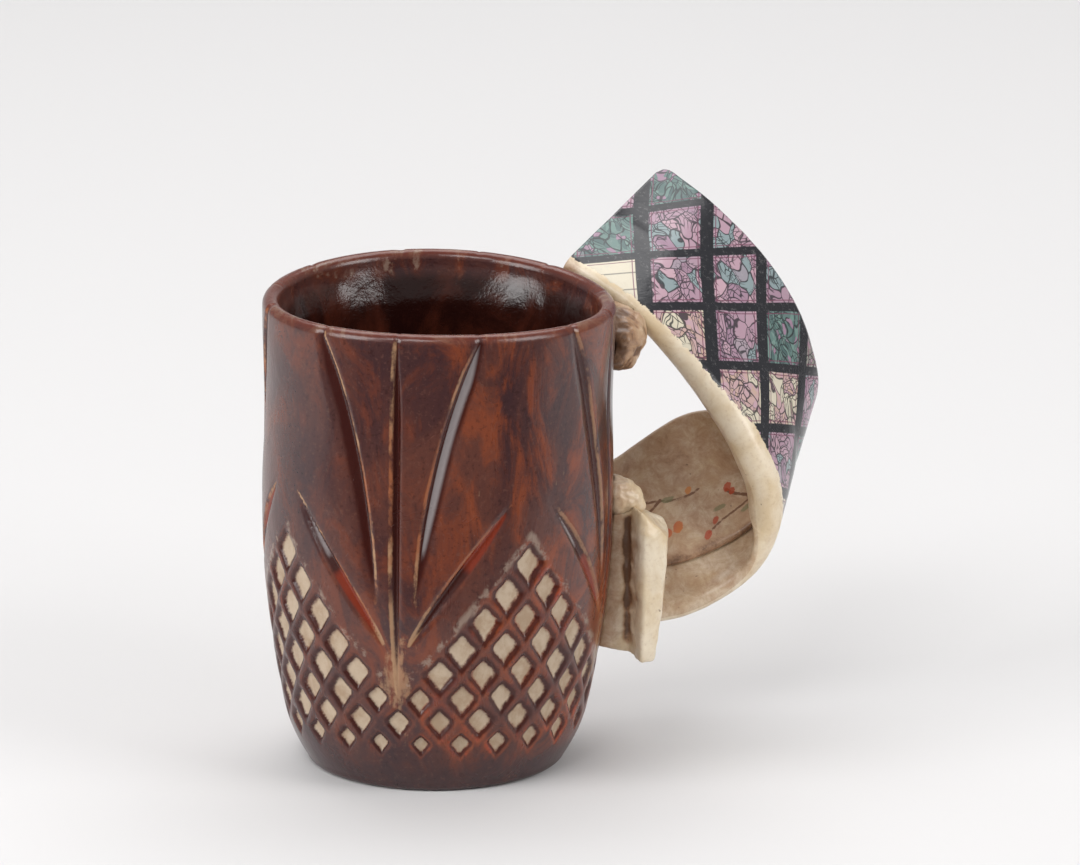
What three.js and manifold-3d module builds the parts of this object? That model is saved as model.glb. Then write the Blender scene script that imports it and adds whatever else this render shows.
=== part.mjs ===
// A tall ceramic mug: a cast cup with a cut-glass relief, and a wide tilted band for a handle.
// Millimetres, +Z up. The origin is the centre of the foot, and the handle is on the +X side.
import * as THREE from "three";
import { mergeVertices } from "three/addons/utils/BufferGeometryUtils.js";
import Module from "manifold-3d";

const wasm = await Module();
wasm.setup();

// Cup body
const cupHeight = 115;
const bellyRadius = 42.5;
const heelRadius = 33.4;
const heelTuck = 3;
const heelTuckHeight = 14;
const bellyHeight = 65.5;
const waistHeight = 91;
const waistReach = 22;
const waistDip = 0.6;
const wallThickness = 6;
const rimThickness = 4.2;
const mouthDepth = 11;
const floorThickness = 6;
const cavityCorner = 9;
const heelRound = 2.5;
const rimLean = 1.3;
const rimTilt = 1.04;
const rimTiltAngle = 236;
const rimWarp = 0.77;
const rimWarpAngle = 6;
const cupFacets = 48;
const seatGap = 0.3;

// Relief: four fans of leaves, and four arches of diamonds between them
const fanCount = 4;
const fanTurn = 360 / fanCount;
const firstFan = -13;
const diamondsRound = 24;
const diamondStep = 360 / diamondsRound;
const archTopHeight = 57.5;
const plainFoot = 10;
const rowPitch = 6.8;
const lastRowSize = 0.8;
const pitDepth = 1.1;
const pitMouth = 1.06;
const pitFloor = 0.54;
const leafDepth = 1.35;
const leafLip = 0.4;
const steepSlope = 0.9;
const middleSlope = 1.1;
const shortSlope = 1.9;
const longSlope = 3.1;
const leafSteps = 9;

// Handle
const handleReach = 52.2;
const handleSpread = 65;
const bandThickness = 4.2;
const bandRoll = 0.5;
const bandRollGain = 1.6;
const bandRollWidth = 7.5;
const bandSteps = 44;
const linerThickness = 1.9;
const linerSteps = 26;
const linerStart = 0.5;
const linerInset = 0.8;
const linerDraw = 5;
const lugRadius = 7.6;
const lugWidth = 12;
const bracketFoot = 0.25 * cupHeight;
const bracketHead = 0.563 * cupHeight;
const bracketReach = 13.8;
const bracketBreadth = 11;
const ribDrop = 3.6;
const headRound = 0.048;
const bracketSteps = 10;
const clayReach = 6.4;
const clayBreadth = 6;
const clayRise = 4.2;

const turn = Math.PI / 180;
const rows = diamondRows();

function smoothStep(low, high, value) {
  const t = THREE.MathUtils.clamp((value - low) / (high - low), 0, 1);
  return t * t * (3 - 2 * t);
}

// Radius of the cup outside, without its relief, at a height: it narrows down to the heel, tucks
// in a little more just above the foot, and has a slight waist under the rim.
function cupRadius(height) {
  const taper = (bellyRadius - heelRadius) * Math.max(0, 1 - height / bellyHeight) ** 2;
  const tuck = heelTuck * Math.max(0, 1 - height / heelTuckHeight) ** 2;
  const near = THREE.MathUtils.clamp((height - waistHeight) / waistReach, -1, 1);
  return bellyRadius - taper - tuck - 0.5 * waistDip * (1 + Math.cos(Math.PI * near));
}

// A point off the cup wall. The angle is in degrees from the front (-Y) towards +X.
function onCup(angle, height, out) {
  const radius = cupRadius(height) + out;
  return new THREE.Vector3(radius * Math.sin(angle * turn), -radius * Math.cos(angle * turn), height);
}

// The cup leans a little: its rim is off the centre of its foot.
function leaned(geometry) {
  const shear = new THREE.Matrix4().makeShear(0, 0, 0, 0, rimLean / cupHeight, 0);
  return geometry.applyMatrix4(shear);
}

// The rim isn't level: it dips towards the handle, and rises and falls twice on its way round.
function rimWaved(geometry) {
  const place = geometry.attributes.position;
  for (let i = 0; i < place.count; i += 1) {
    const angle = Math.atan2(place.getX(i), -place.getY(i));
    const tilt = rimTilt * Math.cos(angle - rimTiltAngle * turn);
    const warp = rimWarp * Math.cos(2 * (angle - rimWarpAngle * turn));
    const height = place.getZ(i);
    place.setZ(i, height + (tilt + warp) * smoothStep(bellyHeight, cupHeight, height));
  }
  return geometry;
}

// Closed geometry from corner points and triangles, turned so that its faces point out
function closedGeometry(points, faces) {
  let volume = 0;
  for (const [a, b, c] of faces) {
    volume += points[a].dot(new THREE.Vector3().crossVectors(points[b], points[c]));
  }
  const index = faces.flatMap(([a, b, c]) => (volume < 0 ? [a, c, b] : [a, b, c]));
  const geometry = new THREE.BufferGeometry().setFromPoints(points);
  geometry.setIndex(index);
  return geometry;
}

// Skin over a row of rings that have the same number of points, closed by a fan at each end
function loft(rings) {
  const count = rings[0].length;
  const points = rings.flat();
  const faces = [];
  for (let i = 0; i + 1 < rings.length; i += 1) {
    for (let j = 0; j < count; j += 1) {
      const a = i * count + j;
      const b = i * count + ((j + 1) % count);
      faces.push([a, b, b + count], [a, b + count, a + count]);
    }
  }
  for (const [ring, start, way] of [[rings[0], 0, 1], [rings.at(-1), points.length - count, -1]]) {
    const middle = points.length;
    points.push(ring.reduce((sum, p) => sum.add(p), new THREE.Vector3()).divideScalar(count));
    for (let j = 0; j < count; j += 1) {
      const pair = [start + ((j + 1) % count), start + j];
      faces.push(way > 0 ? [middle, ...pair] : [middle, pair[1], pair[0]]);
    }
  }
  return closedGeometry(points, faces);
}

function toSolid(geometry) {
  const bare = geometry.clone();
  bare.deleteAttribute("normal");
  bare.deleteAttribute("uv");
  const merged = mergeVertices(bare, 1e-5);
  return new wasm.Manifold(new wasm.Mesh({
    numProp: 3,
    vertProperties: new Float32Array(merged.attributes.position.array),
    triVerts: new Uint32Array(merged.index.array),
  }));
}

// The largest body of a solid, as a geometry
function toGeometry(solid) {
  const bodies = solid.decompose();
  bodies.sort((a, b) => b.volume() - a.volume());
  const mesh = bodies[0].getMesh();
  const geometry = new THREE.BufferGeometry();
  geometry.setAttribute("position", new THREE.BufferAttribute(mesh.vertProperties, 3));
  geometry.setIndex(new THREE.BufferAttribute(mesh.triVerts, 1));
  return geometry;
}

function cutBy(geometry, cutters) {
  let solid = toSolid(geometry);
  for (const cutter of cutters) {
    solid = solid.subtract(cutter);
  }
  return toGeometry(solid);
}

// Points of an arc in the plane of a lathe profile, from one angle to another in degrees
function arcPoints(x, y, radius, from, to, steps) {
  const curve = new THREE.EllipseCurve(x, y, radius, radius, from * turn, to * turn, to < from);
  return curve.getPoints(steps);
}

// Turns a profile of radius and height about Z, with an edge line through the middle of each arch
function turned(profile, facets) {
  const firstArch = (firstFan + 0.5 * fanTurn) * turn;
  return new THREE.LatheGeometry(profile, facets, firstArch).rotateX(Math.PI / 2);
}

// Outside of the wall from the heel up to a height, with a ring at each row of diamonds
function wallProfile(top, clearance) {
  const heights = [0.25, 0.45, 0.7].map((share) => share * heelTuckHeight);
  heights.push(...rows.map((row) => row.height).reverse());
  const plain = 6;
  for (let i = 1; i <= plain; i += 1) {
    heights.push(THREE.MathUtils.lerp(archTopHeight, top, i / plain));
  }
  return heights.map((height) => new THREE.Vector2(cupRadius(height) + clearance, height));
}

// Round at the foot, from the flat that the cup stands on up to its leaning wall
function heelProfile(clearance) {
  const wallTurn = -30;
  const meeting = heelRound * (1 + Math.sin(wallTurn * turn));
  const middle = cupRadius(meeting) - heelRound * Math.cos(wallTurn * turn);
  return arcPoints(middle, heelRound, heelRound + clearance, -90, wallTurn, 4);
}

// Outside of the cup as a full solid, grown by some clearance and carried up past the rim
function cupRoom(clearance) {
  const top = 1.2 * cupHeight;
  const profile = [new THREE.Vector2(0, -clearance), ...heelProfile(clearance)];
  profile.push(...wallProfile(cupHeight, clearance));
  profile.push(new THREE.Vector2(cupRadius(top) + clearance, top));
  profile.push(new THREE.Vector2(0, top));
  return leaned(turned(profile, cupFacets));
}

// The clay body with its rounded lip, before the relief is cut
function cupBlank() {
  const lip = rimThickness / 2;
  const lipHeight = cupHeight - lip;
  const profile = [new THREE.Vector2(0, 0), ...heelProfile(0), ...wallProfile(lipHeight, 0)];
  profile.push(...arcPoints(cupRadius(lipHeight) - lip, lipHeight, lip, 25, 155, 5));
  profile.push(new THREE.Vector2(0, lipHeight));
  return turned(profile, cupFacets);
}

// Inside of the cup: its wall thins towards the rim
function cavity() {
  const lip = rimThickness / 2;
  const lipHeight = cupHeight - lip;
  const cornerTop = floorThickness + cavityCorner;
  const cornerRadius = cupRadius(cornerTop) - wallThickness - cavityCorner;
  const profile = [new THREE.Vector2(0, floorThickness)];
  profile.push(...arcPoints(cornerRadius, cornerTop, cavityCorner, -90, 0, 5));
  const mouthLow = lipHeight - mouthDepth;
  const heights = [0.2, 0.4, 0.6, 0.8, 1].map((share) => THREE.MathUtils.lerp(cornerTop, mouthLow, share));
  heights.push(...[0.25, 0.5, 0.75, 1].map((share) => mouthLow + share * mouthDepth));
  for (const height of heights) {
    const thinned = (wallThickness - rimThickness) * smoothStep(mouthLow, lipHeight, height);
    profile.push(new THREE.Vector2(cupRadius(height) - wallThickness + thinned, height));
  }
  const mouth = cupRadius(lipHeight) - rimThickness;
  profile.push(new THREE.Vector2(mouth + 0.1 * lip, lipHeight + 0.45 * lip));
  profile.push(new THREE.Vector2(mouth + 0.35 * lip, cupHeight));
  profile.push(new THREE.Vector2(0, cupHeight));
  return turned(profile, cupFacets);
}

// Tool for one sunk diamond: a kite-shaped frustum, wider above its middle than below
function pitCutter(angle, height, pitch) {
  const reach = 1;
  const spread = (pitMouth - pitFloor) / pitDepth;
  const rings = [-pitDepth, reach].map((out) => {
    const size = pitFloor + (out + pitDepth) * spread;
    const side = 0.5 * diamondStep * size;
    const shoulder = height + 0.1 * pitch;
    return [
      onCup(angle, height + pitch * size, out),
      onCup(angle - side, shoulder, out),
      onCup(angle, height - pitch * size, out),
      onCup(angle + side, shoulder, out),
    ];
  });
  return loft(rings);
}

// Depth of a leaf along its length, from its top: the long ones are shallow where they run out over
// the rim, the short ones taper at both ends.
function openSwell(t) {
  const foot = Math.sqrt(Math.sin(0.5 * Math.PI * Math.min(1, 2.2 * (1 - t))));
  return foot * THREE.MathUtils.lerp(leafLip, 1, smoothStep(0, 0.25, t));
}

function closedSwell(t) {
  return Math.sqrt(Math.sin(Math.PI * t));
}

// Tool for one leaf: a V run in and out along a curve given as angle and height. Its two sides can
// slope differently, as width for each millimetre of depth, towards lower and higher angles.
function leafCutter(curve, depth, lowSlope, highSlope, runsOut) {
  const reach = 0.6;
  const skin = 0.15;
  const rings = [];
  for (let i = 0; i <= leafSteps; i += 1) {
    const t = i / leafSteps;
    const point = curve.getPoint(t);
    const along = curve.getTangent(t);
    const deep = depth * (runsOut ? openSwell(t) : closedSwell(t)) - skin;
    const perDegree = cupRadius(point.y) * turn;
    const length = Math.hypot(along.x * perDegree, along.y);
    const sideAngle = -along.y / length / perDegree;
    const sideHeight = (along.x * perDegree) / length;
    const low = (reach + deep) * lowSlope;
    const high = (reach + deep) * highSlope;
    rings.push([
      onCup(point.x - low * sideAngle, point.y - low * sideHeight, reach),
      onCup(point.x, point.y, -deep),
      onCup(point.x + high * sideAngle, point.y + high * sideHeight, reach),
    ]);
  }
  return loft(rings);
}

function leafCurve(points) {
  return new THREE.QuadraticBezierCurve(...points.map(([a, z]) => new THREE.Vector2(a, z * cupHeight)));
}

// A fan has one upright leaf, two long ones that run out over the rim and two short low ones. The
// side leaves are steep towards the middle of the fan and slope gently on the other side.
function fanCutters(centre) {
  const top = 1.03;
  const upright = leafCurve([[centre, top], [centre, 0.6], [centre, 0.23]]);
  const cutters = [leafCutter(upright, leafDepth, middleSlope, middleSlope, true)];
  const sideLeaves = [
    { points: [[30, top], [10.5, 0.77], [6.5, 0.43]], slope: longSlope, runsOut: true },
    { points: [[38.5, 0.64], [20, 0.5], [4, 0.34]], slope: shortSlope, runsOut: false },
  ];
  for (const { points, slope, runsOut } of sideLeaves) {
    for (const side of [-1, 1]) {
      const curve = leafCurve(points.map(([angle, share]) => [centre + side * angle, share]));
      const slopes = side > 0 ? [steepSlope, slope] : [slope, steepSlope];
      cutters.push(leafCutter(curve, leafDepth, ...slopes, runsOut));
    }
  }
  return cutters;
}

// Rows of diamonds from the top of an arch down to the plain foot, closer together where the cup
// is narrower
function diamondRows() {
  const found = [];
  let height = archTopHeight;
  let pitch = rowPitch;
  while (height > plainFoot) {
    found.push({ height, pitch });
    height -= pitch;
    pitch = rowPitch * (cupRadius(height) / bellyRadius) ** 1.5;
  }
  return found;
}

// The rows of an arch widen by one diamond each until they meet all round the cup.
function diamondCutters() {
  const cutters = [];
  const fullRow = diamondsRound / fanCount;
  rows.forEach(({ height, pitch }, row) => {
    const inArch = Math.min(row + 1, fullRow);
    const size = row === rows.length - 1 ? lastRowSize : 1;
    const shift = row < fullRow ? 0 : 0.5 * (row - fullRow + 1);
    for (let arch = 0; arch < fanCount; arch += 1) {
      const centre = firstFan + (arch + 0.5) * fanTurn;
      for (let i = 0; i < inArch; i += 1) {
        const angle = centre + (i - 0.5 * (inArch - 1) + shift) * diamondStep;
        cutters.push(pitCutter(angle, height, pitch * size));
      }
    }
  });
  return cutters;
}

function cupGeometry() {
  const cutters = [cavity(), ...diamondCutters()];
  for (let fan = 0; fan < fanCount; fan += 1) {
    cutters.push(...fanCutters(firstFan + fan * fanTurn));
  }
  return leaned(rimWaved(cutBy(cupBlank(), cutters.map(toSolid))));
}

// Edges of the band as smooth curves. The points are given out from the belly as a share of the
// handle's reach, back as a share of its spread, and up as a share of the cup's height.
function handleCurve(points) {
  const placed = points.map(([x, y, z]) => {
    return new THREE.Vector3(bellyRadius + x * handleReach, y * handleSpread, z * cupHeight);
  });
  return new THREE.CatmullRomCurve3(placed, false, "centripetal");
}

const nearEdge = handleCurve([
  [-0.213, 0.462, 1.005],
  [0.094, 0.343, 0.926],
  [0.364, 0.257, 0.816],
  [0.6, 0.198, 0.687],
  [0.693, 0.189, 0.611],
  [0.764, 0.206, 0.525],
  [0.776, 0.235, 0.431],
  [0.692, 0.258, 0.348],
  [0.374, 0.234, 0.258],
  [0, 0.132, 0.25],
  [-0.172, 0.077, 0.26],
]);
const farEdge = handleCurve([
  [0.272, 1, 1.153],
  [0.494, 0.915, 1.083],
  [0.709, 0.862, 0.99],
  [0.881, 0.831, 0.88],
  [0.964, 0.823, 0.785],
  [1, 0.815, 0.695],
  [0.955, 0.81, 0.64],
  [0.79, 0.8, 0.605],
  [0.383, 0.762, 0.618],
  [-0.019, 0.669, 0.511],
  [-0.421, 0.508, 0.435],
]);

// Place on the band: t runs from the rim round to the wall, w from the near edge to the far one,
// and out is the distance outward from its outer face.
function bandFrame(t) {
  const step = 0.004;
  const near = nearEdge.getPoint(t);
  const far = farEdge.getPoint(t);
  const before = nearEdge.getPoint(Math.max(0, t - step)).add(farEdge.getPoint(Math.max(0, t - step)));
  const after = nearEdge.getPoint(Math.min(1, t + step)).add(farEdge.getPoint(Math.min(1, t + step)));
  const along = after.sub(before).normalize();
  const across = far.clone().sub(near);
  const width = across.length();
  across.divideScalar(width);
  const outward = new THREE.Vector3().crossVectors(along, across).normalize();
  return { near, across, outward, width };
}

function bandPoint(frame, w, out) {
  const point = frame.near.clone().addScaledVector(frame.across, w);
  return point.addScaledVector(frame.outward, out);
}

// The near edge of the band is rolled thicker inwards, most of all along the middle of the loop.
function rollAt(t) {
  return bandRoll + bandRollGain * smoothStep(0.08, 0.3, t) * (1 - smoothStep(0.55, 0.75, t));
}

// Section of a flat strap with rounded edges, from w = low to w = high. Its near edge can be rolled
// a little thicker than the rest.
function strapRing(frame, low, high, top, thickness, roll) {
  const half = thickness / 2;
  const middle = top - half;
  const rolled = half + roll;
  const ring = [];
  for (const angle of [-90, -40, 0, 40, 90]) {
    const w = low + rolled * (1 - Math.cos(angle * turn));
    ring.push(bandPoint(frame, w, middle - roll + rolled * Math.sin(angle * turn)));
  }
  for (const share of [0.33, 0.67]) {
    ring.push(bandPoint(frame, THREE.MathUtils.lerp(low, high, share), top));
  }
  for (const angle of [90, 30, -30, -90]) {
    const w = high - half + half * Math.cos(angle * turn);
    ring.push(bandPoint(frame, w, middle + half * Math.sin(angle * turn)));
  }
  ring.push(bandPoint(frame, THREE.MathUtils.lerp(low, high, 0.6), top - thickness));
  ring.push(bandPoint(frame, low + bandRollWidth, top - thickness));
  return ring;
}

function outerBandGeometry(grow) {
  const rings = [];
  for (let i = 0; i <= bandSteps; i += 1) {
    const t = i / bandSteps;
    const frame = bandFrame(t);
    rings.push(strapRing(frame, -grow, frame.width + grow, grow, bandThickness + 2 * grow, rollAt(t)));
  }
  return loft(rings);
}

// The inner slab starts part way down the band, and leaves more and more of its near side bare.
// Its outer face is left inside the band, to be cut to the shape of the band's inner face.
function innerBandGeometry(grow) {
  const rings = [];
  const bed = 0.5 * bandThickness;
  const thickness = bed + seatGap + linerThickness;
  for (let i = 0; i <= linerSteps; i += 1) {
    const t = THREE.MathUtils.lerp(linerStart, 1, i / linerSteps);
    const frame = bandFrame(t);
    const low = bandRollWidth + linerInset + linerDraw * smoothStep(linerStart, 0.78, t);
    const high = frame.width - linerInset;
    rings.push(strapRing(frame, low - grow, high + grow, -bed, thickness + grow, 0));
  }
  return loft(rings);
}

// Two pressed lumps of clay that hold the band under the rim
function topLugGeometry() {
  const upper = new THREE.SphereGeometry(1, 18, 12);
  upper.scale(lugRadius, lugWidth, 0.76 * lugRadius);
  upper.rotateY(35 * turn);
  upper.translate(bellyRadius + 2.5, 1.45 * lugWidth, 0.888 * cupHeight);
  const lower = new THREE.SphereGeometry(1, 16, 10);
  lower.scale(0.76 * lugRadius, 0.6 * lugWidth, 0.66 * lugRadius);
  lower.rotateY(-15 * turn);
  lower.translate(bellyRadius + 1.8, lugWidth, 0.848 * cupHeight);
  return toGeometry(toSolid(upper).add(toSolid(lower)));
}

// Outline of the bracket seen from above, from the wall round its flange, valley and rib, as shares
// of its reach out from the belly and of its breadth. Its outer side follows the taper of the cup,
// its head is rounded off outwards, and its rib reaches lower than its flange.
function bracketRing(share) {
  const outline = [
    [-0.58, -0.22], [0.13, -0.22], [0.26, -0.14], [0.34, -0.17], [0.43, -0.4], [0.51, -0.67], [0.59, -0.75],
    [0.9, -0.62], [0.98, -0.51], [1, 0.73], [0.91, 1], [-0.58, 1],
  ];
  const foot = 0.86 + 0.14 * smoothStep(0, 0.12, share);
  const head = 1 - 0.2 * smoothStep(0.88, 1, share);
  return outline.map(([reach, breadth]) => {
    const x = reach * bracketReach;
    const y = breadth * bracketBreadth;
    const low = bracketFoot - ribDrop * smoothStep(0.15, 0.5, reach);
    const high = bracketHead - headRound * Math.max(0, x) ** 2;
    const height = THREE.MathUtils.lerp(low, high, share);
    const taper = (cupRadius(height) - bellyRadius) * smoothStep(0.45, 0.85, reach);
    return new THREE.Vector3(bellyRadius + x + taper, y * foot * head, height);
  });
}

function bracketGeometry() {
  const rings = [];
  for (let i = 0; i <= bracketSteps; i += 1) {
    rings.push(bracketRing(i / bracketSteps));
  }
  return loft(rings);
}

// Crumpled wad of clay on top of the bracket, against the wall
function jointClayGeometry(grow) {
  const wad = new THREE.IcosahedronGeometry(1, 4);
  const place = wad.attributes.position;
  const point = new THREE.Vector3();
  for (let i = 0; i < place.count; i += 1) {
    point.fromBufferAttribute(place, i);
    const fold = 1 + 0.1 * Math.sin(5 * point.x + 3 * point.z) * Math.cos(4 * point.y - 2 * point.x);
    const size = new THREE.Vector3(clayReach, clayBreadth, clayRise).multiplyScalar(fold).addScalar(grow);
    place.setXYZ(i, size.x * point.x, size.y * point.y, size.z * point.z);
  }
  wad.rotateY(22 * turn);
  return wad.translate(bellyRadius + 0.2 * clayReach, 0.42 * clayBreadth, bracketHead);
}

const outside = toSolid(cupRoom(seatGap));
const bandRoom = toSolid(outerBandGeometry(seatGap));
const linerRoom = toSolid(innerBandGeometry(seatGap));
const clayRoom = toSolid(jointClayGeometry(seatGap));

const mug = new THREE.Group();

function addPiece(name, geometry, color, roughness) {
  const material = new THREE.MeshStandardMaterial({ color, roughness, metalness: 0 });
  const mesh = new THREE.Mesh(geometry, material);
  mesh.name = name;
  mug.add(mesh);
}

addPiece("cup", cupGeometry(), "#5a2e24", 0.22);
addPiece("outer_band", cutBy(outerBandGeometry(0), [outside]), "#a88f9c", 0.3);
addPiece("inner_band", cutBy(innerBandGeometry(0), [outside, bandRoom]), "#cdbb9c", 0.45);
addPiece("top_lug", cutBy(topLugGeometry(), [outside, bandRoom]), "#cbb898", 0.45);
addPiece("bracket", cutBy(bracketGeometry(), [outside, bandRoom, linerRoom, clayRoom]), "#d8c8aa", 0.45);
addPiece("joint_clay", cutBy(jointClayGeometry(0), [outside, bandRoom, linerRoom]), "#c9b694", 0.5);

export default mug;
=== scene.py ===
# The looks of a tall glazed mug with a pattern in relief and a wide printed band for a handle,
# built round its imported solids. Metres, +Z up, the origin in the centre of the foot.
import math

import bpy
import numpy as np
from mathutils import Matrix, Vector, noise


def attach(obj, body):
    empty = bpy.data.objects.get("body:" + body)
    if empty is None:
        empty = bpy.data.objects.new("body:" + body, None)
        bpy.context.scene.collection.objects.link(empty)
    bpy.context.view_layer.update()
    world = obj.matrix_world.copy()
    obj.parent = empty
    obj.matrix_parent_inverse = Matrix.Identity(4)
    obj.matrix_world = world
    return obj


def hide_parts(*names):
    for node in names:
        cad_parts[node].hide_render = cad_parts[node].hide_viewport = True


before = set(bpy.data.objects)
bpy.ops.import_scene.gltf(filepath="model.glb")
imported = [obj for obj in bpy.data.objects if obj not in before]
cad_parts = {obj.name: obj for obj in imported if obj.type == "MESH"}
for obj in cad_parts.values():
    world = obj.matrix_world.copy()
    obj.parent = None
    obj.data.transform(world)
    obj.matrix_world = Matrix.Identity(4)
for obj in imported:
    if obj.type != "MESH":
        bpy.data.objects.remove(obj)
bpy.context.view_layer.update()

# View: a long lens a little above the rim, looking down at the mug from the front, so that the
# mouth shows as a flat oval and the open side of the handle is on the right.
MM = 0.001
camera_place = Vector((25.33, -1727, 544)) * MM
camera_target = Vector((25.33, 0, 80.75)) * MM
camera = bpy.data.objects.new("camera", bpy.data.cameras.new("camera"))
camera.data.sensor_width = 36
camera.data.lens = 248
camera.data.clip_start = 0.1
camera.location = camera_place
camera.rotation_euler = (camera_target - camera_place).to_track_quat("-Z", "Y").to_euler()
bpy.context.scene.collection.objects.link(camera)
bpy.context.scene.camera = camera
bpy.context.scene.view_settings.view_transform = "Standard"

# Studio: one pale matt sheet under and behind the mug. The glaze alone mirrors it as dark a little
# way in front, as if a black card lay there. A soft box on the left is the main light, a weaker
# one on the right fills in, and two overhead light the front of the mug and the sheet behind it.
sheet_half = 3.0
sheet_front = -3.0
card_edge = -0.13
bend_start = 1.3
bend_radius = 1.2
bend_steps = 24
paper_colour = (0.69, 0.68, 0.68)
card_colour = (0.02, 0.02, 0.02)
sheet_line = [(sheet_front, 0.0), (bend_start, 0.0)]
for step in range(1, bend_steps + 1):
    angle = math.pi / 2 * step / bend_steps
    sheet_line.append(
        (bend_start + bend_radius * math.sin(angle), bend_radius * (1 - math.cos(angle)))
    )
sheet_points = [(x, y, z) for y, z in sheet_line for x in (-sheet_half, sheet_half)]
sheet_faces = [(2 * i, 2 * i + 1, 2 * i + 3, 2 * i + 2) for i in range(len(sheet_line) - 1)]
sheet_mesh = bpy.data.meshes.new("paper_sheet")
sheet_mesh.from_pydata(sheet_points, [], sheet_faces)
sheet_mesh.shade_smooth()
paper_sheet = bpy.data.objects.new("paper_sheet", sheet_mesh)
bpy.context.scene.collection.objects.link(paper_sheet)


def link(source, target):
    """Connects a source to a socket. A number or a colour sets the socket's own value."""
    if isinstance(source, (int, float)):
        target.default_value = source
    elif isinstance(source, tuple):
        target.default_value = (*source, 1)
    else:
        target.id_data.links.new(source, target)


def new_node(tree, kind, **values):
    """A shader node with its settings given by name and its input values by the socket's name."""
    made = tree.nodes.new(kind)
    for name, value in values.pop("inputs", {}).items():
        made.inputs[name].default_value = value
    for name, value in values.items():
        setattr(made, name, value)
    return made


def maths(operation, first, *others):
    """The result of a sum. Here and below a new node goes into the tree of its first input."""
    made = new_node(first.id_data, "ShaderNodeMath", operation=operation)
    for value, socket in zip((first, *others), made.inputs):
        link(value, socket)
    return made.outputs[0]


def times(product, *factors):
    """All of these numbers multiplied with each other."""
    for factor in factors:
        product = maths("MULTIPLY", product, factor)
    return product


def mix_colour(share, a, b):
    """Colour a where the share is 0, and colour b where it is 1."""
    made = new_node(share.id_data, "ShaderNodeMix", data_type="RGBA")
    for value, number in ((share, 0), (a, 6), (b, 7)):
        link(value, made.inputs[number])
    return made.outputs[2]


def coordinate(place, axis):
    """X, Y or Z of a place."""
    made = new_node(place.id_data, "ShaderNodeSeparateXYZ")
    link(place, made.inputs[0])
    return made.outputs[axis]


def new_finish(name):
    """A material with its tree and its shader."""
    finish = bpy.data.materials.new(name)
    finish.use_nodes = True
    return finish, finish.node_tree, finish.node_tree.nodes["Principled BSDF"]


paper, tree, shader = new_finish("paper")
on_sheet = new_node(tree, "ShaderNodeNewGeometry").outputs["Position"]
in_front = maths("LESS_THAN", coordinate(on_sheet, "Y"), card_edge)
mirrored = new_node(tree, "ShaderNodeLightPath").outputs["Is Glossy Ray"]
tint = mix_colour(times(in_front, mirrored), paper_colour, card_colour)
link(tint, shader.inputs["Base Color"])
link(0.9, shader.inputs["Roughness"])
link(0.1, shader.inputs["Specular IOR Level"])
sheet_mesh.materials.append(paper)


def soft_box(name, place, aim, width, height, power):
    """A lamp with a flat face of that width and height, turned towards its aim."""
    light = bpy.data.lights.new(name, "AREA")
    light.shape = "RECTANGLE"
    light.size = width
    light.size_y = height
    light.energy = power
    box = bpy.data.objects.new(name, light)
    box.location = place
    box.rotation_euler = (Vector(aim) - Vector(place)).to_track_quat("-Z", "Y").to_euler()
    bpy.context.scene.collection.objects.link(box)


soft_box("box_left", (-1.05, -0.62, 0.62), (0, 0, 0.07), width=0.7, height=0.8, power=10.5)
soft_box("box_right", (1.05, -0.5, 0.6), (0, 0, 0.07), width=0.6, height=0.7, power=7.2)
soft_box("box_front", (-0.45, -1.2, 1.35), (0.02, 0, 0.06), width=0.8, height=0.6, power=9)
soft_box("box_top", (0.0, 0.8, 1.5), (0, 0.6, 0), width=1.8, height=1.2, power=19)

# The room is dark at the level of the table and pale a little above it
room = bpy.data.worlds.new("room")
room.use_nodes = True
sky = room.node_tree
upward = coordinate(new_node(sky, "ShaderNodeTexCoord").outputs["Generated"], "Z")
glow = new_node(sky, "ShaderNodeMapRange", inputs={
    "From Min": -0.02, "From Max": 0.1, "To Min": 0.02, "To Max": 0.34,
})
link(upward, glow.inputs["Value"])
link(glow.outputs["Result"], sky.nodes["Background"].inputs["Color"])
bpy.context.scene.world = room

# Cup: slip-cast stoneware with a cut-glass pattern pressed into its wall in the mould: fans of
# V-cut leaves, and between them arches of sunk diamonds. Wall and floor are one casting with a
# brown glaze, wiped off the floors of the diamonds. The lip was sponged by hand and isn't level.
cup_height = 115.0
belly_radius = 42.5
heel_radius = 33.4
heel_tuck = 3.0
heel_tuck_height = 14.0
belly_height = 65.5
waist_height = 91.0
waist_reach = 22.0
waist_dip = 0.6
wall = 6.0
rim_wall = 4.2
mouth_depth = 11.0
floor_thickness = 6.0
cavity_corner = 9.0
heel_round = 2.5
rim_lean = 1.3
rim_tilt = 1.04
rim_tilt_angle = 236.0
rim_warp = 0.77
rim_warp_angle = 6.0
fan_turn = 90.0
fans = int(360 / fan_turn)
first_fan = -13.0
diamond_step = 15.0
arch_top = 57.5
row_pitch = 6.8
plain_foot = 10.0
last_row_size = 0.8
pit_depth = 1.1
pit_mouth = 1.06
pit_floor = 0.62
leaf_depth = 1.35
leaf_lip = 0.4
steep_slope = 0.9
middle_slope = 1.1
short_slope = 1.9
long_slope = 3.1
wall_start = 1.9
columns = 480
rings_to_row = 10


def smooth_step(low, high, value):
    """0 at the low end, 1 at the high end, with a soft start and stop."""
    t = np.clip((value - low) / (high - low), 0, 1)
    return t * t * (3 - 2 * t)


def cup_radius(height):
    """Radius of the cup's outside: a taper below the belly, a tucked-in heel and a slight waist."""
    taper = (belly_radius - heel_radius) * np.maximum(0, 1 - height / belly_height) ** 2
    tuck = heel_tuck * np.maximum(0, 1 - height / heel_tuck_height) ** 2
    near = np.clip((height - waist_height) / waist_reach, -1, 1)
    return belly_radius - taper - tuck - 0.5 * waist_dip * (1 + np.cos(np.pi * near))


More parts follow.
